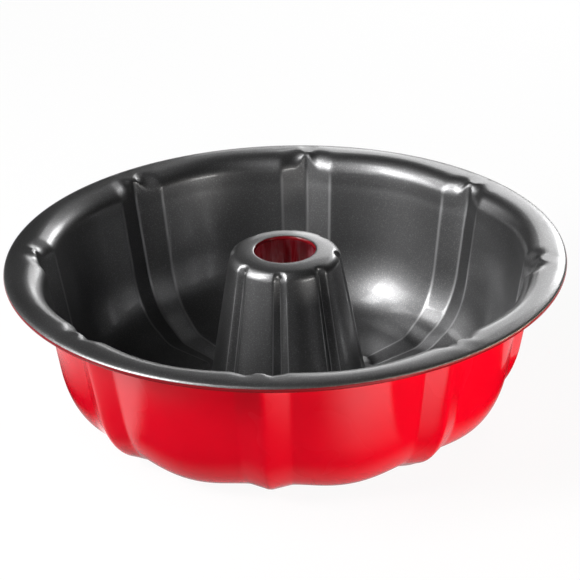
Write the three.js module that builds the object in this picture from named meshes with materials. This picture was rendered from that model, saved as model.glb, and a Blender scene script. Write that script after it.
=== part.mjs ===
// A fluted ring-cake pan of pressed steel sheet: a wide pan with eight V-shaped ribs, a fluted
// centre tube crimped on to a collar in the pan's floor, and a wire rolled into the rim's bead.
// Millimetres, +Z up. The origin is on the tube's axis, in the plane that the pan stands on,
// and one rib points along -Y.

import * as THREE from 'three';

// Driving dimensions: sheet and clearances
const SHEET = 0.6;
const SEAT_GAP = 0.3;

// Driving dimensions: rim
const RIM_DIAMETER = 260;
const FLANGE_HEIGHT = 78;
const FLANGE_WIDTH = 16.2;
const FLANGE_FILLET = 9.5;
const WIRE_DIAMETER = 1.4;
const BEAD_OPENING_DEG = 70;

// Driving dimensions: wall and knee, on the side that the cake touches
const WALL_DRAFT_DEG = 8.7;
const KNEE_RISE = 31.2;
const KNEE_RUN = 29;
const KNEE_FULLNESS = 0.6;

// Driving dimensions: ribs of the pan, and the pinch of its wall between the full lobes
const RIB_COUNT = 8;
const RIB_HALF_ANGLE_DEG = 6.3;
const RIB_LAND_SHARE = 0.12;
const RIB_DEPTH_AT_RIM = 5.6;
const RIB_DEPTH_AT_KNEE = 4.7;
const RIB_DEPTH_AT_FLOOR = 2.2;
const RIDGE_FILLET = 2.6;
const RIDGE_FILLET_FROM = 0.6;
const PINCH_AT_RIM = 2.5;
const PINCH_AT_KNEE = 3.1;
const PINCH_FADES_FROM = 0.7;

// Driving dimensions: centre tube
const TUBE_STANDS_PROUD = 2.4;
const TUBE_RADIUS_AT_TOP = 25.4;
const TUBE_TAPER_DEG = 9.8;
const TUBE_SHOULDER = 5.5;
const VENT_RADIUS = 14;
const VENT_LIP_BEND = 1;
const VENT_LIP_DEPTH = 1.6;
const GROOVE_DEPTH = 2.4;
const GROOVE_RUN_IN = 9;

// Driving dimensions: the joint at the tube's foot
const FOOT_FILLET = 8;
const FOOT_FLANGE_WIDTH = 6.3;
const RECESS_STEP_WIDTH = 3;
const CRIMP_WIDTH = 3;
const CRIMP_DEPTH = 0.7;
const COLLAR_ABOVE_CRIMP = 1.5;
const GROOVE_ABOVE_COLLAR = 2;

// Angles in radians
const { degToRad, clamp, lerp, smoothstep } = THREE.MathUtils;
const WALL_DRAFT = degToRad(WALL_DRAFT_DEG);
const TUBE_TAPER = degToRad(TUBE_TAPER_DEG);
const RIB_HALF_ANGLE = degToRad(RIB_HALF_ANGLE_DEG);
const RIB_PITCH = (2 * Math.PI) / RIB_COUNT;

// Rim and floor, from the sizes above
const BEAD_RADIUS = WIRE_DIAMETER / 2 + SEAT_GAP + SHEET;
const BEAD_CENTRE = new THREE.Vector2(RIM_DIAMETER / 2 - BEAD_RADIUS, FLANGE_HEIGHT - BEAD_RADIUS);
const FLOOR_TOP = RIB_DEPTH_AT_FLOOR + SHEET;
const KNEE_HEIGHT = FLOOR_TOP + KNEE_RISE;
const FLOOR_RADIUS = wallRadius(KNEE_HEIGHT) - KNEE_RUN;

// The tube and its foot, from the sizes above
const TUBE_HEIGHT = FLANGE_HEIGHT + TUBE_STANDS_PROUD;
const RECESS_TOP = SHEET;
const FOOT_FLANGE_TOP = RECESS_TOP + SEAT_GAP + SHEET;
const FOOT_CENTRE_Z = FOOT_FLANGE_TOP + FOOT_FILLET;
const FOOT_CENTRE_R = tubeRadius(FOOT_CENTRE_Z) + FOOT_FILLET / Math.cos(TUBE_TAPER);
const FOOT_FLANGE_RADIUS = FOOT_CENTRE_R + FOOT_FLANGE_WIDTH;
const RECESS_RADIUS = FOOT_FLANGE_RADIUS + SEAT_GAP;
const COLLAR_OFFSET = SHEET + SEAT_GAP;
const COLLAR_TOP = FOOT_CENTRE_Z + CRIMP_WIDTH + COLLAR_ABOVE_CRIMP;
const GROOVE_START = COLLAR_TOP + GROOVE_ABOVE_COLLAR;

// Points along each curve of the sections
const BEAD_STEPS = 9;
const FILLET_STEPS = 3;
const WALL_STEPS = 3;
const KNEE_STEPS = 6;
const FOOT_STEPS = 4;
const WIRE_SIDES = 8;
const LOBE_STEPS = 4;
const FACE_MIDDLE = 0.5;

// The drafted wall's radius at a height, in the plain section before the flutes are pressed.
function wallRadius(height) {
  return RIM_DIAMETER / 2 - FLANGE_WIDTH - (FLANGE_HEIGHT - height) * Math.tan(WALL_DRAFT);
}

// The tapered tube's radius at a height, in the plain section before the grooves are pressed.
function tubeRadius(height) {
  return TUBE_RADIUS_AT_TOP + (TUBE_HEIGHT - height) * Math.tan(TUBE_TAPER);
}

// Angle from the middle of the nearest rib, with azimuth 0 on the rib that points along -Y.
function fromRib(azimuth) {
  return azimuth - RIB_PITCH * Math.round(azimuth / RIB_PITCH);
}

// Height of the rib's V section: 1 on the flat land at its ridge, falling straight to 0 at its edges.
function ribShare(azimuth) {
  const across = Math.abs(fromRib(azimuth)) / RIB_HALF_ANGLE;
  return clamp((1 - across) / (1 - RIB_LAND_SHARE), 0, 1);
}

// How far the wall is drawn in between the full lobes: 1 at a rib, 0 in the middle of a lobe.
function pinchShare(azimuth) {
  return (1 + Math.cos(RIB_COUNT * fromRib(azimuth))) / 2;
}

// Points of a circular arc from one angle to another, in degrees, in either direction.
function arc(centreR, centreZ, radius, fromDeg, toDeg, steps) {
  const from = degToRad(fromDeg);
  const to = degToRad(toDeg);
  const curve = new THREE.EllipseCurve(centreR, centreZ, radius, radius, from, to, to < from);
  return curve.getPoints(steps);
}

// Closes a line of section points into the outline of a sheet that lies to the left of the line.
// Corners are mitred, so flat stretches of the two faces stay flat and parallel.
function sheetOutline(line) {
  const under = line.map((point, i) => {
    const before = new THREE.Vector2().subVectors(point, line[Math.max(i - 1, 0)]);
    const after = new THREE.Vector2().subVectors(line[Math.min(i + 1, line.length - 1)], point);
    if (i === 0) before.copy(after);
    if (i === line.length - 1) after.copy(before);
    const bisector = before.normalize().add(after.normalize());
    const cosHalfTurn = bisector.length() / 2;
    bisector.normalize();
    const reach = SHEET / cosHalfTurn;
    return new THREE.Vector2(point.x - bisector.y * reach, point.y + bisector.x * reach);
  });
  return [...line, ...under.reverse()];
}

// Azimuths of the columns: each rib has its two edges, the middles of its faces and its land,
// and the lobe between two ribs is stepped evenly.
function columnAzimuths(faceMiddles) {
  const faceShares = faceMiddles ? [-1, -FACE_MIDDLE, FACE_MIDDLE, 1] : [-1, 1];
  const ribShares = [...faceShares, -RIB_LAND_SHARE, RIB_LAND_SHARE].sort((a, b) => a - b);
  const lobe = RIB_PITCH - 2 * RIB_HALF_ANGLE;
  const azimuths = [];
  for (let rib = 0; rib < RIB_COUNT; rib += 1) {
    const middle = rib * RIB_PITCH;
    for (const share of ribShares) azimuths.push(middle + share * RIB_HALF_ANGLE);
    for (let step = 1; step < LOBE_STEPS; step += 1) {
      azimuths.push(middle + RIB_HALF_ANGLE + (lobe * step) / LOBE_STEPS);
    }
  }
  return azimuths;
}

// Turns a section that changes with azimuth about the Z axis. The lathe gives the closed grid of
// faces, and each of its columns then takes the section of its own azimuth.
function turned(sectionAt, azimuths) {
  const first = sectionAt(azimuths[0]);
  const closed = [...first, first[0]];
  const geometry = new THREE.LatheGeometry(closed, azimuths.length);
  const position = geometry.getAttribute('position');
  for (let column = 0; column <= azimuths.length; column += 1) {
    const azimuth = azimuths[column % azimuths.length];
    const section = sectionAt(azimuth);
    for (let row = 0; row < closed.length; row += 1) {
      const { x: radius, y: height } = section[row % section.length];
      const index = column * closed.length + row;
      position.setXYZ(index, radius * Math.sin(azimuth), -radius * Math.cos(azimuth), height);
    }
  }
  geometry.computeVertexNormals();
  return geometry;
}

// Outward shift of the pan's wall at one azimuth, for a given rib depth and pinch.
function flute(azimuth, ribDepth, pinch) {
  return ribDepth * ribShare(azimuth) - pinch * pinchShare(azimuth);
}

// Rolled bead: the sheet runs from its hidden end round the wire to the outer edge of the flange.
function beadLine() {
  const hiddenEnd = BEAD_OPENING_DEG - 270;
  return arc(BEAD_CENTRE.x, BEAD_CENTRE.y, BEAD_RADIUS, hiddenEnd, 90, BEAD_STEPS);
}

// Fillet from the flange down to the wall. It is tight over a rib's ridge and full elsewhere,
// which leaves the W-shaped notch in the flange above each rib.
function flangeFilletLine(azimuth) {
  const onRidge = smoothstep(ribShare(azimuth), RIDGE_FILLET_FROM, 1);
  const radius = lerp(FLANGE_FILLET, RIDGE_FILLET, onRidge);
  const shift = flute(azimuth, RIB_DEPTH_AT_RIM, PINCH_AT_RIM);
  const centreZ = FLANGE_HEIGHT - radius;
  const centreR = wallRadius(centreZ) + shift + radius / Math.cos(WALL_DRAFT);
  return arc(centreR, centreZ, radius, 90, 180 - WALL_DRAFT_DEG, FILLET_STEPS);
}

// Drafted wall, from below the fillet to the knee, with the ribs growing shallower on the way.
function wallLine(azimuth) {
  const top = FLANGE_HEIGHT - FLANGE_FILLET;
  const points = [];
  for (let step = 1; step <= WALL_STEPS; step += 1) {
    const share = step / WALL_STEPS;
    const height = lerp(top, KNEE_HEIGHT, share);
    const ribDepth = lerp(RIB_DEPTH_AT_RIM, RIB_DEPTH_AT_KNEE, share);
    const pinch = lerp(PINCH_AT_RIM, PINCH_AT_KNEE, share);
    points.push(new THREE.Vector2(wallRadius(height) + flute(azimuth, ribDepth, pinch), height));
  }
  return points;
}

// Full round knee from the wall to the floor. The flutes are pressed square to it, and the pinch
// dies out as it comes to the floor.
function kneeLine(azimuth) {
  const start = new THREE.Vector2(wallRadius(KNEE_HEIGHT), KNEE_HEIGHT);
  const end = new THREE.Vector2(FLOOR_RADIUS, FLOOR_TOP);
  const drop = KNEE_FULLNESS * (start.y - end.y);
  const run = KNEE_FULLNESS * (start.x - end.x);
  const underWall = new THREE.Vector2(start.x - drop * Math.tan(WALL_DRAFT), start.y - drop);
  const beforeFloor = new THREE.Vector2(end.x + run, end.y);
  const curve = new THREE.CubicBezierCurve(start, underWall, beforeFloor, end);
  const points = [];
  for (let step = 1; step <= KNEE_STEPS; step += 1) {
    const share = step / KNEE_STEPS;
    const point = curve.getPoint(share);
    const along = curve.getTangent(share);
    const ribDepth = lerp(RIB_DEPTH_AT_KNEE, RIB_DEPTH_AT_FLOOR, share);
    const pinch = PINCH_AT_KNEE * (1 - smoothstep(share, PINCH_FADES_FROM, 1));
    const shift = flute(azimuth, ribDepth, pinch);
    points.push(new THREE.Vector2(point.x - along.y * shift, point.y + along.x * shift));
  }
  return points;
}

// Floor: the ribs run inward at one depth and open into a round recess at the tube's foot.
function floorLine(azimuth) {
  const ribFloor = FLOOR_TOP - RIB_DEPTH_AT_FLOOR * ribShare(azimuth);
  const edge = new THREE.Vector2(RECESS_RADIUS + RECESS_STEP_WIDTH, ribFloor);
  const step = new THREE.Vector2(RECESS_RADIUS, RECESS_TOP);
  return [edge, step];
}

// A line of points set off from the tube's cake side, towards the axis: the foot's fillet and the
// straight cone above it, up to a height, with the crimp pressed in.
function footLine(offset, top) {
  const radius = FOOT_FILLET + offset;
  const bend = arc(FOOT_CENTRE_R, FOOT_CENTRE_Z, radius, 270, 180 + TUBE_TAPER_DEG, FOOT_STEPS);
  const inward = offset / Math.cos(TUBE_TAPER);
  const heightsAndDepths = [
    [FOOT_CENTRE_Z, 0],
    [FOOT_CENTRE_Z + CRIMP_WIDTH / 2, CRIMP_DEPTH],
    [FOOT_CENTRE_Z + CRIMP_WIDTH, 0],
    [top, 0],
  ];
  const cone = heightsAndDepths.map(([height, depth]) => {
    return new THREE.Vector2(tubeRadius(height) - inward - depth, height);
  });
  return [...bend, ...cone];
}

function panSection(azimuth) {
  return sheetOutline([
    ...beadLine(),
    ...flangeFilletLine(azimuth),
    ...wallLine(azimuth),
    ...kneeLine(azimuth),
    ...floorLine(azimuth),
    ...footLine(COLLAR_OFFSET, COLLAR_TOP),
  ]);
}

// Straight part of the tube: each rib of the pan is met by a V-shaped groove, which starts above
// the crimp and runs up into the shoulder.
function tubeWallLine(azimuth) {
  const top = TUBE_HEIGHT - 2 * TUBE_SHOULDER;
  const heights = [GROOVE_START + GROOVE_RUN_IN, (GROOVE_START + top) / 2, top];
  const depth = GROOVE_DEPTH * ribShare(azimuth);
  return heights.map((height) => new THREE.Vector2(tubeRadius(height) - depth, height));
}

// Round shoulder, flat top ring and turned-down vent lip.
function tubeTopLine(azimuth) {
  const centreZ = TUBE_HEIGHT - TUBE_SHOULDER;
  const centreR = tubeRadius(centreZ) - TUBE_SHOULDER / Math.cos(TUBE_TAPER);
  const shoulder = arc(centreR, centreZ, TUBE_SHOULDER, TUBE_TAPER_DEG, 90, FILLET_STEPS);
  const grooved = shoulder.map((point, i) => {
    const left = 1 - i / (shoulder.length - 1);
    return new THREE.Vector2(point.x - GROOVE_DEPTH * ribShare(azimuth) * left, point.y);
  });
  const lip = arc(
    VENT_RADIUS + VENT_LIP_BEND,
    TUBE_HEIGHT - VENT_LIP_BEND,
    VENT_LIP_BEND,
    90,
    180,
    FILLET_STEPS,
  );
  return [...grooved, ...lip, new THREE.Vector2(VENT_RADIUS, TUBE_HEIGHT - VENT_LIP_DEPTH)];
}

function tubeSection(azimuth) {
  return sheetOutline([
    new THREE.Vector2(FOOT_FLANGE_RADIUS, FOOT_FLANGE_TOP),
    ...footLine(0, GROOVE_START),
    ...tubeWallLine(azimuth),
    ...tubeTopLine(azimuth),
  ]);
}

function wireSection() {
  return arc(BEAD_CENTRE.x, BEAD_CENTRE.y, WIRE_DIAMETER / 2, 0, 360, WIRE_SIDES).slice(1);
}

const redLacquer = new THREE.MeshStandardMaterial({
  color: 0xc4040e,
  roughness: 0.25,
  metalness: 0.1,
});
const greyNonStick = new THREE.MeshStandardMaterial({
  color: 0x3a3a3c,
  roughness: 0.4,
  metalness: 0.5,
});
const plainSteel = new THREE.MeshStandardMaterial({
  color: 0x9a9a9a,
  roughness: 0.4,
  metalness: 1,
});

const ribColumns = columnAzimuths(true);
const grooveColumns = columnAzimuths(false);

const panBody = new THREE.Mesh(turned(panSection, ribColumns), redLacquer);
panBody.name = 'pan_body';

const centreTube = new THREE.Mesh(turned(tubeSection, grooveColumns), greyNonStick);
centreTube.name = 'centre_tube';

const rimWire = new THREE.Mesh(turned(wireSection, ribColumns), plainSteel);
rimWire.name = 'rim_wire';

const pan = new THREE.Group();
pan.add(panBody, centreTube, rimWire);

export default pan;
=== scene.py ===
import bpy
import math
import numpy as np
from mathutils import Matrix, Vector


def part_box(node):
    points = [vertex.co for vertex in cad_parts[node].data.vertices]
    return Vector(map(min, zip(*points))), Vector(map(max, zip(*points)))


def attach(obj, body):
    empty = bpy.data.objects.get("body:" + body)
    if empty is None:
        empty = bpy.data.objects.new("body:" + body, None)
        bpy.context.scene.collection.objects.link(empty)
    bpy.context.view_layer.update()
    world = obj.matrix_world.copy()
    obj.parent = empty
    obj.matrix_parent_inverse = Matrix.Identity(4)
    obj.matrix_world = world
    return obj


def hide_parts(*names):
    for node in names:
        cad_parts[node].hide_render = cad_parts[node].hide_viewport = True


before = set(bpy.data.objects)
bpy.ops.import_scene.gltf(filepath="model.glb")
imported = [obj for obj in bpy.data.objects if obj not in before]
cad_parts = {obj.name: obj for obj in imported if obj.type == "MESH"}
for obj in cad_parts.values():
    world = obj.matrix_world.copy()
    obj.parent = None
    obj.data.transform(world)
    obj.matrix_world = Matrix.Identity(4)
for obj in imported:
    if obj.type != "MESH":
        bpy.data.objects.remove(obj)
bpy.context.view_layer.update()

# Pan body
# The pan is one disc of steel sheet, deep-drawn into a ring-shaped bowl with eight V-shaped ribs.
# Its edge is rolled outwards into a bead, and its middle is turned up as a collar for the tube.

sheet = 0.0006
seat_gap = 0.0003

rim_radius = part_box("pan_body")[1][0]
flange_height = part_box("pan_body")[1][2]
wire_radius = 0.0007
bead_radius = wire_radius + seat_gap + sheet
bead_r = rim_radius - bead_radius
flange_crown = 0.0008

wall_draft = math.radians(8.7)
flange_width = 0.0162
wall_r_at_flange = rim_radius - flange_width
flange_fillet = 0.0095
ridge_fillet = 0.0026
ridge_fillet_from = 0.6
fillet_widening = 0.1

rib_count = 8
rib_pitch = 2 * math.pi / rib_count
rib_half_angle = math.radians(6.3)
rib_depth_rim = 0.0056
rib_depth_knee = 0.0047
rib_depth_floor = 0.0022
pinch_rim = 0.0025
pinch_knee = 0.0031
pinch_fades_from = 0.7

floor_top = rib_depth_floor + sheet
knee_rise = 0.0312
knee_z = floor_top + knee_rise
knee_run = 0.029
knee_fullness = 0.6
draw_ring_z = 0.0645
draw_ring_width = 0.002
draw_ring_depth = 0.0001

tube_taper = math.radians(9.8)
tube_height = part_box("centre_tube")[1][2]
tube_r_at_top = 0.0254
foot_fillet = 0.008
foot_flange_top = 2 * sheet + seat_gap
foot_z = foot_flange_top + foot_fillet
vent_radius = 0.014
lip_bend = 0.001
foot_flange_width = 0.0063
crimp_width = 0.003
crimp_depth = 0.0007
collar_above_crimp = 0.0015
recess_step = 0.003

bead_end = math.radians(-200)
spray_edge = math.radians(20)
bead_rows = 26
flange_rows = 8
fillet_rows = 14
wall_rows = 25
knee_rows = 26
floor_rows = 6
step_rows = 7
foot_rows = 10
crimp_rows = 7


def soft_positive(x, softness):
    """x where it is well above zero and zero where it is well below, with a round corner between."""
    return (x + np.sqrt(x * x + softness * softness)) / 2


def ease(x):
    """0 below 0, 1 above 1, and the S-curve 3x^2 - 2x^3 between."""
    x = np.clip(x, 0, 1)
    return x * x * (3 - 2 * x)


def from_rib(azimuth):
    """Angle from the middle of the nearest rib; azimuth 0 is the rib along -Y."""
    return azimuth - rib_pitch * np.round(azimuth / rib_pitch)


def rib_share(azimuth, land, ridge, edge):
    """V section of a rib: 1 on a narrow land, falling straight to 0 at the rib's edges. ridge and
    edge are how round its corners are, all as shares of the rib's half width."""
    def section(across):
        slope = soft_positive(across - land, ridge) / (1 - land)
        return soft_positive(1 - slope, edge)
    return section(np.abs(from_rib(azimuth)) / rib_half_angle) / section(0.0)


def rib_columns():
    """Azimuths of the grid's columns: the same steps in each rib's pitch, closest together at the
    ridge and at the two edges of the rib."""
    pitch = 360 / rib_count
    steps = [0, 10, 18, 20, 28, 30, 38, 48]
    degrees = [-pitch / 2, -9.0, -4.0, -1.6, 1.6, 4.0, 9.0, pitch / 2]
    one_pitch = np.interp(np.arange(steps[-1]), steps, degrees)
    return np.radians(one_pitch + pitch * np.arange(rib_count)[:, None]).ravel()


def wall_r(z):
    """Radius of the drafted wall at height z, before the ribs are pressed."""
    return wall_r_at_flange - (flange_height - z) * math.tan(wall_draft)


def tube_r(z):
    """Radius of the tapered tube at height z, before its grooves are pressed."""
    return tube_r_at_top + (tube_height - z) * math.tan(tube_taper)


def crimp(z):
    """Depth of the ring that is pressed into tube and collar together: one round wave."""
    phase = np.clip((z - foot_z) / crimp_width, 0, 1)
    return crimp_depth * (1 - np.cos(2 * math.pi * phase)) / 2


flange_start = wall_r(flange_height - flange_fillet) + flange_fillet * (1 + fillet_widening)
rim_tilt = math.atan(3 * flange_crown / (bead_r - flange_start))
bead_z = flange_height - flange_crown - bead_radius * math.cos(rim_tilt)
foot_r = tube_r(foot_z) + foot_fillet / math.cos(tube_taper)
foot_flange_r = foot_r + foot_flange_width
recess_r = foot_flange_r + seat_gap
collar_top = foot_z + crimp_width + collar_above_crimp


def foot_curve(offset, top):
    """Radii and heights of the foot's fillet and of the straight cone above it, up to a height, set
    off from the tube's cake side towards the axis."""
    turn = np.linspace(1.5 * math.pi, math.pi + tube_taper, foot_rows)
    bend_r = foot_r + (foot_fillet + offset) * np.cos(turn)
    bend_z = foot_z + (foot_fillet + offset) * np.sin(turn)
    cone_z = np.concatenate([np.linspace(foot_z, foot_z + crimp_width, crimp_rows), [top]])
    cone_r = tube_r(cone_z) - offset / math.cos(tube_taper) - crimp(cone_z)
    return np.concatenate([bend_r, cone_r]), np.concatenate([bend_z, cone_z])


def pan_cake_side(azimuth):
    """Radii and heights of the pan's cake side, one row for each point of its section and one column
    for each azimuth. The section is a bead's arc, a flange that falls to the bead with the cube of the
    way, an elliptical fillet that tightens on a rib's ridge, a drafted wall with the faint ring that
    the draw left in it, a knee on a cubic curve, a flat floor, a step into the recess, and the
    turned-up collar. A rib pushes the section out by its depth. A pinch draws it in between the lobes
    and fades at the end of the knee."""
    rib = rib_share(azimuth, land=0.04, ridge=0.05, edge=0.07)[None, :]
    pinch = ((1 + np.cos(rib_count * from_rib(azimuth))) / 2)[None, :]
    flat = np.ones_like(rib)

    turn = np.linspace(bead_end, math.pi / 2 - rim_tilt, bead_rows)[:, None]
    bead = (bead_r + bead_radius * np.cos(turn)) * flat, (bead_z + bead_radius * np.sin(turn)) * flat

    at_ridge = ease((rib - ridge_fillet_from) / (1 - ridge_fillet_from))
    radius = flange_fillet + (ridge_fillet - flange_fillet) * at_ridge
    wider = 1 + fillet_widening * (1 - rib)
    across, deep = radius * wider, radius / wider
    fillet_end = math.pi - np.arctan(math.tan(wall_draft) / wider ** 2)
    centre_z = flange_height - deep
    rim_shift = rib_depth_rim * rib - pinch_rim * pinch
    centre_r = wall_r(centre_z + deep * np.sin(fillet_end)) + rim_shift - across * np.cos(fillet_end)
    along = np.linspace(0, 1, flange_rows)[1:-1, None]
    flange_z = flange_height - flange_crown * (1 - along) ** 3
    flange = bead[0][-1:] + (centre_r - bead[0][-1:]) * along, flange_z * flat
    turn = math.pi / 2 + (fillet_end - math.pi / 2) * np.linspace(0, 1, fillet_rows)[:, None]
    fillet = centre_r + across * np.cos(turn), centre_z + deep * np.sin(turn)

    along = np.linspace(0, 1, wall_rows)[1:, None]
    z = fillet[1][-1:] + (knee_z - fillet[1][-1:]) * along
    down = np.clip((flange_height - flange_fillet - z) / (flange_height - flange_fillet - knee_z), 0, 1)
    depth = rib_depth_rim + (rib_depth_knee - rib_depth_rim) * down
    draw_in = pinch_rim + (pinch_knee - pinch_rim) * down
    draw_ring = draw_ring_depth * np.exp(-((z - draw_ring_z) / draw_ring_width) ** 2)
    wall = wall_r(z) + depth * rib - draw_in * pinch + draw_ring, z

    t = np.linspace(0, 1, knee_rows)[1:, None]
    start = np.array([wall_r(knee_z), knee_z])
    end = np.array([start[0] - knee_run, floor_top])
    drop = knee_fullness * (start[1] - end[1])
    first = start - drop * np.array([math.tan(wall_draft), 1])
    second = end + np.array([knee_fullness * knee_run, 0])
    point = (1 - t) ** 3 * start + 3 * t * (1 - t) ** 2 * first
    point = point + 3 * t * t * (1 - t) * second + t ** 3 * end
    slope = (1 - t) ** 2 * (first - start) + 2 * t * (1 - t) * (second - first) + t * t * (end - second)
    slope = slope / np.linalg.norm(slope, axis=1, keepdims=True)
    depth = rib_depth_knee + (rib_depth_floor - rib_depth_knee) * t
    fade = 1 - ease((t - pinch_fades_from) / (1 - pinch_fades_from))
    shift = depth * rib - pinch_knee * fade * pinch
    knee = point[:, :1] - slope[:, 1:] * shift, point[:, 1:] + slope[:, :1] * shift

    along = np.linspace(0, 1, floor_rows)[1:, None]
    floor_r = end[0] + (recess_r + recess_step - end[0]) * along
    floor = floor_r * flat, floor_top - rib_depth_floor * rib + 0 * along
    along = np.linspace(0, 1, step_rows)[1:, None]
    step_z = floor[1][-1:] + (sheet - floor[1][-1:]) * ease(along)
    step = (recess_r + recess_step * (1 - along)) * flat, step_z

    collar_r, collar_z = foot_curve(sheet + seat_gap, collar_top)
    collar = collar_r[:, None] * flat, collar_z[:, None] * flat
    zones = [bead, flange, fillet, wall, knee, floor, step, collar]
    return np.concatenate([zone[0] for zone in zones]), np.concatenate([zone[1] for zone in zones])


def on_axis(radius, height, azimuth):
    """Points of a surface turned about Z: x = r sin a, y = -r cos a, z = height."""
    return np.stack([radius * np.sin(azimuth), -radius * np.cos(azimuth), height], axis=-1)


def sheet_points(cake_side):
    """The closed skin of a sheet: its cake side, then its other side in reverse, set off by the
    sheet's thickness along the surface's own normal, which is the cross product of its two slopes."""
    along = np.gradient(cake_side, axis=0)
    closed = np.concatenate([cake_side[:, -1:], cake_side, cake_side[:, :1]], axis=1)
    across = (closed[:, 2:] - closed[:, :-2]) / 2
    normal = np.cross(across, along)
    normal /= np.linalg.norm(normal, axis=2, keepdims=True)
    return np.concatenate([cake_side, (cake_side - sheet * normal)[::-1]])


def ring_mesh(name, points):
    """A mesh from a grid of points that closes on itself both round the axis and across its section.
    Each face joins a point to the next in its row and in its column."""
    rows, columns = points.shape[:2]
    here = np.arange(rows * columns).reshape(rows, columns)
    below = np.roll(here, -1, axis=0)
    faces = np.stack([here, np.roll(here, -1, axis=1), np.roll(below, -1, axis=1), below], axis=-1)
    faces = faces.reshape(-1, 4)
    mesh = bpy.data.meshes.new(name)
    mesh.vertices.add(rows * columns)
    mesh.vertices.foreach_set("co", points.astype(np.float32).ravel())
    mesh.loops.add(faces.size)
    mesh.loops.foreach_set("vertex_index", faces.astype(np.int32).ravel())
    mesh.polygons.add(len(faces))
    mesh.polygons.foreach_set("loop_start", np.arange(0, faces.size, 4, dtype=np.int32))
    mesh.update(calc_edges=True)
    mesh.validate()
    mesh.shade_smooth()
    piece = bpy.data.objects.new(name, mesh)
    bpy.context.scene.collection.objects.link(piece)
    return piece


def coating_grain():
    """A node group for a sprayed and baked coating: fine grain, a slow orange peel, and a cloudy tint
    that runs from 0 to 1 over some centimetres."""
    group = bpy.data.node_groups.new("coating_grain", "ShaderNodeTree")
    group.interface.new_socket("Grain Scale", in_out="INPUT", socket_type="NodeSocketFloat")
    group.interface.new_socket("Peel Scale", in_out="INPUT", socket_type="NodeSocketFloat")
    group.interface.new_socket("Peel Share", in_out="INPUT", socket_type="NodeSocketFloat")
    group.interface.new_socket("Height", in_out="OUTPUT", socket_type="NodeSocketFloat")
    group.interface.new_socket("Fleck", in_out="OUTPUT", socket_type="NodeSocketFloat")
    group.interface.new_socket("Cloud", in_out="OUTPUT", socket_type="NodeSocketFloat")
    nodes, links = group.nodes, group.links
    inputs = nodes.new("NodeGroupInput")
    outputs = nodes.new("NodeGroupOutput")
    place = nodes.new("ShaderNodeTexCoord")
    grain = nodes.new("ShaderNodeTexNoise")
    grain.inputs["Detail"].default_value = 3.0
    peel = nodes.new("ShaderNodeTexNoise")
    peel.inputs["Detail"].default_value = 1.0
    cloud = nodes.new("ShaderNodeTexNoise")
    cloud.inputs["Scale"].default_value = 22.0
    cloud.inputs["Detail"].default_value = 2.0
    for texture in (grain, peel, cloud):
        links.new(place.outputs["Object"], texture.inputs["Vector"])
    links.new(inputs.outputs["Grain Scale"], grain.inputs["Scale"])
    links.new(inputs.outputs["Peel Scale"], peel.inputs["Scale"])
    height = nodes.new("ShaderNodeMix")
    links.new(inputs.outputs["Peel Share"], height.inputs["Factor"])
    links.new(grain.outputs["Fac"], height.inputs["A"])
    links.new(peel.outputs["Fac"], height.inputs["B"])
    fleck = nodes.new("ShaderNodeMapRange")
    fleck.inputs["From Min"].default_value = 0.52
    fleck.inputs["From Max"].default_value = 0.72
    links.new(grain.outputs["Fac"], fleck.inputs["Value"])
    spread = nodes.new("ShaderNodeMapRange")
    spread.inputs["From Min"].default_value = 0.3
    spread.inputs["From Max"].default_value = 0.7
    links.new(cloud.outputs["Fac"], spread.inputs["Value"])
    links.new(height.outputs["Result"], outputs.inputs["Height"])
    links.new(fleck.outputs["Result"], outputs.inputs["Fleck"])
    links.new(spread.outputs["Result"], outputs.inputs["Cloud"])
    return group


def distance_to_axis(nodes, links, place):
    """A node that gives the distance of a place from the pan's axis."""
    level = nodes.new("ShaderNodeVectorMath")
    level.operation = "MULTIPLY"
    level.inputs[1].default_value = (1, 1, 0)
    links.new(place, level.inputs[0])
    length = nodes.new("ShaderNodeVectorMath")
    length.operation = "LENGTH"
    links.new(level.outputs["Vector"], length.inputs[0])
    return length.outputs["Value"]


def share_of_turn(nodes, links, place):
    """A node that gives the angle of a place round the pan's axis, as a share of a full turn."""
    sweep = nodes.new("ShaderNodeTexGradient")
    sweep.gradient_type = "RADIAL"
    links.new(place, sweep.inputs["Vector"])
    return sweep.outputs["Fac"]


def ramp(nodes, links, value, start, end, low, high):
    """A node that goes smoothly from low to high as a value goes from start to end."""
    step = nodes.new("ShaderNodeMapRange")
    step.interpolation_type = "SMOOTHSTEP"
    step.inputs["From Min"].default_value = start
    step.inputs["From Max"].default_value = end
    step.inputs["To Min"].default_value = low
    step.inputs["To Max"].default_value = high
    links.new(value, step.inputs["Value"])
    return step.outputs["Result"]


def worked_out(nodes, links, operation, *values):
    """A node for one step of arithmetic, on other nodes' outputs or on plain numbers."""
    step = nodes.new("ShaderNodeMath")
    step.operation = operation
    for socket, value in zip(step.inputs, values):
        if isinstance(value, bpy.types.NodeSocket):
            links.new(value, socket)
        else:
            socket.default_value = value
    return step.outputs["Value"]


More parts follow.
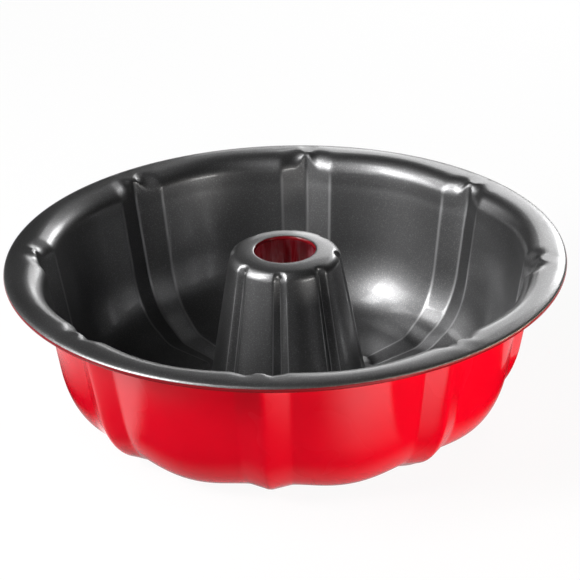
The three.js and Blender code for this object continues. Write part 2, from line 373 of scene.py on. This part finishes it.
def painted_edge_highlights():
    """A node group for a painted highlight along the corners of the ribs and grooves, which stands in
    for
    the light that these corners catch: 1 on a thin line along each ridge and edge, found from the angle
    round the axis in rib pitches, and 0 elsewhere. The lines stop short of the flange and of the flat
    ring round the tube's foot."""
    line_width = 0.014
    flange_margin = 0.006
    foot_margin = 0.01
    group = bpy.data.node_groups.new("painted_edge_highlights", "ShaderNodeTree")
    group.interface.new_socket("Edge", in_out="OUTPUT", socket_type="NodeSocketFloat")
    nodes, links = group.nodes, group.links
    outputs = nodes.new("NodeGroupOutput")
    place = nodes.new("ShaderNodeTexCoord")
    bearing = share_of_turn(nodes, links, place.outputs["Object"])
    pitches = worked_out(nodes, links, "MULTIPLY_ADD", bearing, rib_count, 0.5)
    within = worked_out(nodes, links, "FRACT", pitches)
    from_ridge = worked_out(nodes, links, "ABSOLUTE", worked_out(nodes, links, "SUBTRACT", within, 0.5))
    past_edge = worked_out(nodes, links, "SUBTRACT", from_ridge, rib_half_angle / rib_pitch)
    from_edge = worked_out(nodes, links, "ABSOLUTE", past_edge)
    nearest = worked_out(nodes, links, "MINIMUM", from_ridge, from_edge)
    line = ramp(nodes, links, nearest, start=0.0, end=line_width, low=1.0, high=0.0)
    axes = nodes.new("ShaderNodeSeparateXYZ")
    links.new(place.outputs["Object"], axes.inputs["Vector"])
    height = axes.outputs["Z"]
    gone_at = flange_height - flange_margin
    below_flange = ramp(nodes, links, height, gone_at - flange_margin, gone_at, low=1.0, high=0.0)
    above_foot = ramp(nodes, links, height, collar_top, collar_top + foot_margin, low=0.0, high=1.0)
    from_axis = distance_to_axis(nodes, links, place.outputs["Object"])
    round_foot = ramp(nodes, links, from_axis, recess_r, recess_r + 2 * recess_step, low=0.0, high=1.0)
    clear_of_foot = worked_out(nodes, links, "MAXIMUM", above_foot, round_foot)
    on_wall = worked_out(nodes, links, "MULTIPLY", below_flange, clear_of_foot)
    links.new(worked_out(nodes, links, "MULTIPLY", line, on_wall), outputs.inputs["Edge"])
    return group


def rubbed_and_darkened_edges():
    """A node group for the sheets' edges, found from the distance to the axis. Gloss is half on the
    sheet and a tenth on the bead, which rubs on shelves and other pans. Darkening is 1 on the bead,
    where it is painted shade for the shadow under the bead, and on the vent's lip, and 0 elsewhere."""
    group = bpy.data.node_groups.new("rubbed_and_darkened_edges", "ShaderNodeTree")
    group.interface.new_socket("Gloss", in_out="OUTPUT", socket_type="NodeSocketFloat")
    group.interface.new_socket("Darkening", in_out="OUTPUT", socket_type="NodeSocketFloat")
    nodes, links = group.nodes, group.links
    outputs = nodes.new("NodeGroupOutput")
    place = nodes.new("ShaderNodeTexCoord")
    from_axis = distance_to_axis(nodes, links, place.outputs["Object"])
    bead_side = bead_r + bead_radius / 2
    gloss = ramp(nodes, links, from_axis, bead_r, bead_side, low=0.5, high=0.1)
    links.new(gloss, outputs.inputs["Gloss"])
    on_bead = ramp(nodes, links, from_axis, bead_r - bead_radius, bead_side, low=0.0, high=1.0)
    lip_r = vent_radius + lip_bend
    on_lip = ramp(nodes, links, from_axis, lip_r, lip_r + lip_bend, low=1.0, high=0.0)
    links.new(worked_out(nodes, links, "MAXIMUM", on_bead, on_lip), outputs.inputs["Darkening"])
    return group


grain_group = coating_grain()
edge_highlight_group = painted_edge_highlights()
rubbed_darkened_group = rubbed_and_darkened_edges()


def non_stick_grey():
    """Dark grey non-stick coating: semi-gloss, with a fine metallic fleck, a painted highlight that
    lightens its colour along the corners of the ribs and grooves, and rubbed dull on the bead."""
    material = bpy.data.materials.new("non_stick_grey")
    material.use_nodes = True
    nodes, links = material.node_tree.nodes, material.node_tree.links
    shader = nodes["Principled BSDF"]
    shader.inputs["Metallic"].default_value = 1.0
    shader.inputs["Coat Roughness"].default_value = 0.12
    worn_and_darkened = nodes.new("ShaderNodeGroup")
    worn_and_darkened.node_tree = rubbed_darkened_group
    links.new(worn_and_darkened.outputs["Gloss"], shader.inputs["Coat Weight"])
    grain = nodes.new("ShaderNodeGroup")
    grain.node_tree = grain_group
    grain.inputs["Grain Scale"].default_value = 1900.0
    grain.inputs["Peel Scale"].default_value = 420.0
    grain.inputs["Peel Share"].default_value = 0.35
    colour = nodes.new("ShaderNodeMix")
    colour.data_type = "RGBA"
    colour.inputs["A"].default_value = (0.16, 0.16, 0.162, 1)
    colour.inputs["B"].default_value = (0.27, 0.27, 0.272, 1)
    links.new(grain.outputs["Fleck"], colour.inputs["Factor"])
    pressed = nodes.new("ShaderNodeGroup")
    pressed.node_tree = edge_highlight_group
    # Painted highlight: the colour lightens along the ribs' and grooves' corners, where they catch the
    # light.
    edge_lightened = nodes.new("ShaderNodeMix")
    edge_lightened.data_type = "RGBA"
    edge_lightened.inputs["B"].default_value = (0.4, 0.4, 0.404, 1)
    links.new(pressed.outputs["Edge"], edge_lightened.inputs["Factor"])
    links.new(colour.outputs["Result"], edge_lightened.inputs["A"])
    links.new(edge_lightened.outputs["Result"], shader.inputs["Base Color"])
    gloss = nodes.new("ShaderNodeMapRange")
    gloss.inputs["To Min"].default_value = 0.4
    gloss.inputs["To Max"].default_value = 0.45
    links.new(grain.outputs["Cloud"], gloss.inputs["Value"])
    links.new(gloss.outputs["Result"], shader.inputs["Roughness"])
    bump = nodes.new("ShaderNodeBump")
    bump.inputs["Strength"].default_value = 0.07
    bump.inputs["Distance"].default_value = 0.0002
    links.new(grain.outputs["Height"], bump.inputs["Height"])
    links.new(bump.outputs["Normal"], shader.inputs["Normal"])
    return material


def lacquer_red():
    """Glossy red lacquer, sprayed on the outside and baked: a clear top over the pigment, with painted
    shade on the bead.
    """
    material = bpy.data.materials.new("lacquer_red")
    material.use_nodes = True
    nodes, links = material.node_tree.nodes, material.node_tree.links
    shader = nodes["Principled BSDF"]
    shader.inputs["Specular IOR Level"].default_value = 0.05
    shader.inputs["Coat Roughness"].default_value = 0.06
    worn_and_darkened = nodes.new("ShaderNodeGroup")
    worn_and_darkened.node_tree = rubbed_darkened_group
    links.new(worn_and_darkened.outputs["Gloss"], shader.inputs["Coat Weight"])
    grain = nodes.new("ShaderNodeGroup")
    grain.node_tree = grain_group
    grain.inputs["Grain Scale"].default_value = 1400.0
    grain.inputs["Peel Scale"].default_value = 260.0
    grain.inputs["Peel Share"].default_value = 0.85
    colour = nodes.new("ShaderNodeMix")
    colour.data_type = "RGBA"
    colour.inputs["A"].default_value = (0.42, 0.0004, 0.0078, 1)
    colour.inputs["B"].default_value = (0.475, 0.0004, 0.0092, 1)
    links.new(grain.outputs["Cloud"], colour.inputs["Factor"])
    # Painted shade: the red turns dark on the bead, for the shadow under it, and on the vent's lip.
    darkened_red = nodes.new("ShaderNodeMix")
    darkened_red.data_type = "RGBA"
    darkened_red.inputs["B"].default_value = (0.15, 0.004, 0.007, 1)
    links.new(worn_and_darkened.outputs["Darkening"], darkened_red.inputs["Factor"])
    links.new(colour.outputs["Result"], darkened_red.inputs["A"])
    links.new(darkened_red.outputs["Result"], shader.inputs["Base Color"])
    gloss = nodes.new("ShaderNodeMapRange")
    gloss.inputs["To Min"].default_value = 0.22
    gloss.inputs["To Max"].default_value = 0.3
    links.new(grain.outputs["Cloud"], gloss.inputs["Value"])
    links.new(gloss.outputs["Result"], shader.inputs["Roughness"])
    bump = nodes.new("ShaderNodeBump")
    bump.inputs["Strength"].default_value = 0.05
    bump.inputs["Distance"].default_value = 0.0002
    links.new(grain.outputs["Height"], bump.inputs["Height"])
    links.new(bump.outputs["Normal"], shader.inputs["Normal"])
    return material


def coat(piece, coatings, worn):
    """Put coatings on a piece: worn gives, for each row of faces, the number of its coating. Corners
    sharper than 60 degrees, as at the sheet's cut edges, stay sharp."""
    for coating in coatings:
        piece.data.materials.append(coating)
    columns = len(piece.data.polygons) // len(worn)
    piece.data.polygons.foreach_set("material_index", np.repeat(worn.astype(np.int32), columns))
    piece.data.set_sharp_from_angle(angle=math.radians(60))


grey = non_stick_grey()
red = lacquer_red()

azimuth = rib_columns()
radius, height = pan_cake_side(azimuth)
pan_body = ring_mesh("pan_sheet", sheet_points(on_axis(radius, height, azimuth)))
rows = len(radius)
row = np.arange(2 * rows)
first_grey = int(bead_rows * (spray_edge - bead_end) / (math.pi / 2 - rim_tilt - bead_end))
coat(pan_body, [grey, red], (row < first_grey) | (row >= rows - 1))
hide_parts("pan_body")
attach(pan_body, "root")

# Centre tube
# The tube is a second pressing, tapered and grooved in line with the pan's ribs. Its foot is a flange
# in the floor's recess, crimped to the collar, and its top turns down into an open vent.

tube_shoulder = 0.0055
ring_tilt = math.radians(13)
ring_crown = 0.0007
lip_depth = 0.0016
groove_depth = 0.0024
groove_above_collar = 0.002
groove_start = collar_top + groove_above_collar
groove_run_in = 0.009
fade_from = math.radians(35)
foot_flange_rows = 4
cone_rows = 34
shoulder_rows = 13
ring_rows = 8
lip_rows = 9
edge_rows = 4
red_lip_rows = 9


def tube_cake_side(azimuth):
    """Radii and heights of the tube's cake side: a flat foot flange, a fillet, a straight cone, a
    round shoulder, a ring that falls outwards with the square of the way, and a lip. A groove draws
    the cone in by its depth, from nothing above the crimp to the full depth, and dies out over the
    shoulder."""
    groove = rib_share(azimuth, land=0.05, ridge=0.12, edge=0.2)[None, :]
    flat = np.ones_like(groove)

    flange_r = np.linspace(foot_flange_r, foot_r, foot_flange_rows)[:-1, None] * flat
    flange = flange_r, foot_flange_top + 0 * flange_r
    bend_r, bend_z = foot_curve(0.0, groove_start)
    foot = bend_r[:, None] * flat, bend_z[:, None] * flat

    centre_z = tube_height - ring_crown - tube_shoulder * math.cos(ring_tilt)
    centre_r = tube_r(centre_z) - tube_shoulder / math.cos(tube_taper)
    cone_top = centre_z + tube_shoulder * math.sin(tube_taper)
    z = np.linspace(groove_start, cone_top, cone_rows)[1:, None] * flat
    share = ease((z - groove_start) / groove_run_in)
    cone = tube_r(z) - groove_depth * share * groove, z

    shoulder_end = math.pi / 2 - ring_tilt
    turn = np.linspace(tube_taper, shoulder_end, shoulder_rows)[1:, None]
    left = 1 - ease((turn - fade_from) / (shoulder_end - fade_from))
    bend = tube_shoulder - groove_depth * left * groove
    shoulder = centre_r + bend * np.cos(turn), centre_z + bend * np.sin(turn)

    lip_r = vent_radius + lip_bend
    along = np.linspace(1, 0, ring_rows)[1:-1, None]
    ring_edge = centre_r + tube_shoulder * math.sin(ring_tilt)
    top = (lip_r + (ring_edge - lip_r) * along) * flat, (tube_height - ring_crown * along ** 2) * flat
    turn = np.linspace(math.pi / 2, math.pi, lip_rows)[:, None]
    lip = (lip_r + lip_bend * np.cos(turn)) * flat, (tube_height - lip_bend * (1 - np.sin(turn))) * flat
    edge_z = np.linspace(tube_height - lip_bend, tube_height - lip_depth, edge_rows)[1:, None] * flat
    edge = vent_radius + 0 * edge_z, edge_z
    zones = [flange, foot, cone, shoulder, top, lip, edge]
    return np.concatenate([zone[0] for zone in zones]), np.concatenate([zone[1] for zone in zones])


def lacquer_thin():
    """The red lacquer inside the tube, where little of the spray reaches: thin, and streaked by paler
    runs that are drawn out along the tube."""
    material = bpy.data.materials.new("lacquer_thin")
    material.use_nodes = True
    nodes, links = material.node_tree.nodes, material.node_tree.links
    shader = nodes["Principled BSDF"]
    shader.inputs["Coat Weight"].default_value = 0.3
    shader.inputs["Coat Roughness"].default_value = 0.1
    place = nodes.new("ShaderNodeTexCoord")
    drawn_out = nodes.new("ShaderNodeMapping")
    drawn_out.inputs["Scale"].default_value = (420, 420, 10)
    links.new(place.outputs["Object"], drawn_out.inputs["Vector"])
    runs = nodes.new("ShaderNodeTexNoise")
    runs.inputs["Scale"].default_value = 1.0
    links.new(drawn_out.outputs["Vector"], runs.inputs["Vector"])
    pale = nodes.new("ShaderNodeMapRange")
    pale.inputs["From Min"].default_value = 0.45
    pale.inputs["From Max"].default_value = 0.7
    links.new(runs.outputs["Fac"], pale.inputs["Value"])
    colour = nodes.new("ShaderNodeMix")
    colour.data_type = "RGBA"
    colour.inputs["A"].default_value = (0.56, 0.02, 0.06, 1)
    colour.inputs["B"].default_value = (0.85, 0.34, 0.41, 1)
    links.new(pale.outputs["Result"], colour.inputs["Factor"])
    links.new(colour.outputs["Result"], shader.inputs["Base Color"])
    gloss = nodes.new("ShaderNodeMapRange")
    gloss.inputs["To Min"].default_value = 0.45
    gloss.inputs["To Max"].default_value = 0.3
    links.new(pale.outputs["Result"], gloss.inputs["Value"])
    links.new(gloss.outputs["Result"], shader.inputs["Roughness"])
    return material


radius, height = tube_cake_side(azimuth)
centre_tube = ring_mesh("tube_sheet", sheet_points(on_axis(radius, height, azimuth)))
rows = len(radius)
row = np.arange(2 * rows)
worn = (row >= rows - red_lip_rows).astype(int) + (row >= rows)
coat(centre_tube, [grey, red, lacquer_thin()], worn)
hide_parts("centre_tube")
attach(centre_tube, "root")

# Rim wire
# A ring of drawn steel wire lies inside the rolled bead and stiffens the rim. Only the gap under the
# flange, where the bead's edge ends, shows any of it.


def drawn_steel():
    """Plain drawn steel: a fine mottle of lighter and darker grey, rougher where it is lighter."""
    material = bpy.data.materials.new("drawn_steel")
    material.use_nodes = True
    nodes, links = material.node_tree.nodes, material.node_tree.links
    shader = nodes["Principled BSDF"]
    shader.inputs["Metallic"].default_value = 1.0
    place = nodes.new("ShaderNodeTexCoord")
    mottle = nodes.new("ShaderNodeTexNoise")
    mottle.inputs["Scale"].default_value = 900.0
    links.new(place.outputs["Object"], mottle.inputs["Vector"])
    colour = nodes.new("ShaderNodeMix")
    colour.data_type = "RGBA"
    colour.inputs["A"].default_value = (0.32, 0.32, 0.33, 1)
    colour.inputs["B"].default_value = (0.5, 0.5, 0.51, 1)
    links.new(mottle.outputs["Fac"], colour.inputs["Factor"])
    links.new(colour.outputs["Result"], shader.inputs["Base Color"])
    gloss = nodes.new("ShaderNodeMapRange")
    gloss.inputs["To Min"].default_value = 0.3
    gloss.inputs["To Max"].default_value = 0.45
    links.new(mottle.outputs["Fac"], gloss.inputs["Value"])
    links.new(gloss.outputs["Result"], shader.inputs["Roughness"])
    return material


wire_sides = 16
wire_steps = 240
turn = np.linspace(0, 2 * math.pi, wire_sides, endpoint=False)[:, None]
wire_azimuth = np.linspace(0, 2 * math.pi, wire_steps, endpoint=False)
wire_r = bead_r + wire_radius * np.cos(turn) + 0 * wire_azimuth
wire_z = bead_z + wire_radius * np.sin(turn) + 0 * wire_azimuth
rim_wire = ring_mesh("rim_wire_ring", on_axis(wire_r, wire_z, wire_azimuth))
rim_wire.data.materials.append(drawn_steel())
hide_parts("rim_wire")
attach(rim_wire, "root")

# Stage
# A plain pale floor, which the camera sees nearly without shadows, in front of a white backdrop. In the
# pan's gloss alone the floor is painted light and shade: a faint painted glow at the foot, a painted
# shadow close to the pan, painted light farther out, and two brighter painted wedges at the front left
# and the front right.

floor_half = 4
near_left, near_right = (-floor_half, -floor_half, 0), (floor_half, -floor_half, 0)
far_left, far_right = (-floor_half, floor_half, 0), (floor_half, floor_half, 0)
floor_mesh = bpy.data.meshes.new("floor")
floor_mesh.from_pydata([near_left, near_right, far_right, far_left], [], [(0, 1, 2, 3)])
floor = bpy.data.objects.new("floor", floor_mesh)
bpy.context.scene.collection.objects.link(floor)
floor_paint = bpy.data.materials.new("floor_paint")
floor_paint.use_nodes = True
nodes, links = floor_paint.node_tree.nodes, floor_paint.node_tree.links
paint = nodes["Principled BSDF"]
paint.inputs["Base Color"].default_value = (0.8, 0.8, 0.8, 1)
paint.inputs["Roughness"].default_value = 0.9
paint.inputs["Specular IOR Level"].default_value = 0.1
# The floor that the pan mirrors is an emission: painted light and shade, not lit by the panels.
mirrored = nodes.new("ShaderNodeEmission")
place = nodes.new("ShaderNodeTexCoord")

# Painted shadow in reflections: dark in a pool round a point near the pan's middle, lit beyond it.
shadow_pool_x = 0.041
shadow_pool_y = -0.018
from_shadow_pool = nodes.new("ShaderNodeMapping")
from_shadow_pool.inputs["Location"].default_value = (-shadow_pool_x, -shadow_pool_y, 0)
links.new(place.outputs["Object"], from_shadow_pool.inputs["Vector"])
from_shadow_pool_middle = distance_to_axis(nodes, links, from_shadow_pool.outputs["Vector"])
lit_beyond_shadow = ramp(nodes, links, from_shadow_pool_middle, start=0.163, end=0.208, low=0.0, high=1.0)

from_axis = distance_to_axis(nodes, links, place.outputs["Object"])
foot_glow = ramp(nodes, links, from_axis, start=0.1, end=0.118, low=0.5, high=0.0)

# Painted light in reflections: two brighter wedges of floor at the front right and the front left.
bearing = share_of_turn(nodes, links, place.outputs["Object"])
right_wedge_start = ramp(nodes, links, bearing, start=0.275, end=0.335, low=0.0, high=1.0)
right_wedge_end = ramp(nodes, links, bearing, start=0.369, end=0.377, low=1.0, high=0.0)
right_wedge_sides = worked_out(nodes, links, "MULTIPLY", right_wedge_start, right_wedge_end)
outwards = ramp(nodes, links, from_axis, start=0.11, end=0.21, low=0.0, high=4.0)
right_wedge = worked_out(nodes, links, "MULTIPLY", right_wedge_sides, outwards)
left_wedge_start = ramp(nodes, links, bearing, start=0.062, end=0.078, low=0.0, high=1.6)
left_wedge_end = ramp(nodes, links, bearing, start=0.096, end=0.122, low=1.0, high=0.0)
left_wedge = worked_out(nodes, links, "MULTIPLY", left_wedge_start, left_wedge_end)
wedges = worked_out(nodes, links, "ADD", right_wedge, left_wedge)

wedges_and_foot = worked_out(nodes, links, "ADD", wedges, foot_glow)
links.new(worked_out(nodes, links, "ADD", lit_beyond_shadow, wedges_and_foot), mirrored.inputs["Strength"])
glow = nodes.new("ShaderNodeEmission")
path = nodes.new("ShaderNodeLightPath")
in_reflections = nodes.new("ShaderNodeMixShader")
links.new(path.outputs["Is Glossy Ray"], in_reflections.inputs["Fac"])
links.new(paint.outputs["BSDF"], in_reflections.inputs[1])
links.new(mirrored.outputs["Emission"], in_reflections.inputs[2])
floor_lift = 0.93
lift = worked_out(nodes, links, "MULTIPLY", path.outputs["Is Camera Ray"], floor_lift)
seen = nodes.new("ShaderNodeMixShader")
links.new(lift, seen.inputs["Fac"])
links.new(in_reflections.outputs["Shader"], seen.inputs[1])
links.new(glow.outputs["Emission"], seen.inputs[2])
links.new(seen.outputs["Shader"], nodes["Material Output"].inputs["Surface"])
floor.data.materials.append(floor_paint)

world = bpy.data.worlds.new("studio")
world.use_nodes = True
backdrop = world.node_tree.nodes["Background"]
backdrop.inputs["Color"].default_value = (1, 1, 1, 1)
nodes, links = world.node_tree.nodes, world.node_tree.links
path = nodes.new("ShaderNodeLightPath")
room_light = 0.008
brightness = worked_out(nodes, links, "MAXIMUM", path.outputs["Is Camera Ray"], room_light)
links.new(brightness, backdrop.inputs["Strength"])
bpy.context.scene.world = world


def light_panel(name, place, aim, width, height, watts, warmth=0.0):
    """A soft rectangular lamp at a place, facing an aim point and hidden from the camera, with its size
    in metres. warmth takes blue out of its light, and a third as much green."""
    lamp = bpy.data.lights.new(name, "AREA")
    lamp.shape = "RECTANGLE"
    lamp.size = width
    lamp.size_y = height
    lamp.energy = watts
    lamp.color = (1, 1 - warmth / 3, 1 - warmth)
    panel = bpy.data.objects.new(name, lamp)
    panel.location = place
    panel.rotation_euler = (Vector(aim) - Vector(place)).to_track_quat("-Z", "Y").to_euler()
    panel.visible_camera = False
    bpy.context.scene.collection.objects.link(panel)


panel_distance = 0.9
panel_base = 0.06


def round_the_pan(azimuth, elevation):
    """A place at the panels' distance from the pan, at an azimuth from -Y towards +X and an elevation
    in degrees above the panels' base height."""
    a, e = math.radians(azimuth), math.radians(elevation)
    level = panel_distance * math.cos(e)
    return level * math.sin(a), -level * math.cos(a), panel_base + panel_distance * math.sin(e)


# The two brightest panels stand on the left, and weaker ones round the rest of the pan. The strip on
# the right lies below the rim's height, which keeps its light out of the bowl, and a small card on the
# floor shines up at the far right.

pan_middle = (0, 0, 0.05)
strip_height = 0.03
strip_place = (0.475, -0.155, strip_height)
strip_aim = (0, 0, strip_height)
card_place = (0.139, 0.046, 0.002)
overhead = (0, 0, 1)
light_panel("panel_key", round_the_pan(305, 35), pan_middle, 0.26, 0.24, 5.6)
light_panel("panel_left", round_the_pan(293, 28), pan_middle, 0.6, 0.6, 6.6)
light_panel("panel_high_left", round_the_pan(300, 58), pan_middle, 0.24, 0.3, 2.2)
light_panel("panel_far_left", round_the_pan(252, 44), pan_middle, 0.24, 0.19, 0.7)
light_panel("panel_front_left", round_the_pan(336, 14), pan_middle, 0.3, 0.2, 0.4)
light_panel("panel_low_right", round_the_pan(51, 3), pan_middle, 0.3, 0.19, 2.4, warmth=0.05)
light_panel("strip_right", strip_place, strip_aim, 0.6, 0.05, 3.6, warmth=0.3)
light_panel("panel_back_right", round_the_pan(156, 22), pan_middle, 0.26, 0.2, 1.7)
light_panel("panel_back", round_the_pan(169, 21), pan_middle, 0.48, 0.38, 1.55)
light_panel("panel_back_low", round_the_pan(185, 12), pan_middle, 0.2, 0.2, 0.2)
light_panel("card_far_right", card_place, overhead, 0.06, 0.06, 0.006)

# Camera
# It stands ten rim radii from the rim's centre, a little to the right of one rib, and looks down at
# the pan. It is aimed a little below the rim's centre and leans a little, as the picture does.

view_distance = 1.3
view_elevation = math.radians(25.45)
view_azimuth = math.radians(6.0)
view_lean = math.radians(-1.62)
aim_right = 0.0019
aim_down = 0.015
rim_centre_height = 0.076

rim_centre = Vector((0, 0, rim_centre_height))
towards_camera = Vector((
    math.sin(view_azimuth) * math.cos(view_elevation),
    -math.cos(view_azimuth) * math.cos(view_elevation),
    math.sin(view_elevation),
))
view_right = Vector((math.cos(view_azimuth), math.sin(view_azimuth), 0))
view_up = towards_camera.cross(view_right)
aim = rim_centre + aim_right * view_right - aim_down * view_up
lens = bpy.data.cameras.new("camera")
lens.sensor_width = 36.0
lens.lens = 174.4
camera = bpy.data.objects.new("camera", lens)
stand = rim_centre + view_distance * towards_camera
turn_to_aim = (aim - stand).to_track_quat("-Z", "Y").to_matrix().to_4x4()
camera.matrix_world = Matrix.Translation(stand) @ turn_to_aim @ Matrix.Rotation(view_lean, 4, "Z")
bpy.context.scene.collection.objects.link(camera)
bpy.context.scene.camera = camera
bpy.context.scene.view_settings.view_transform = "Standard"
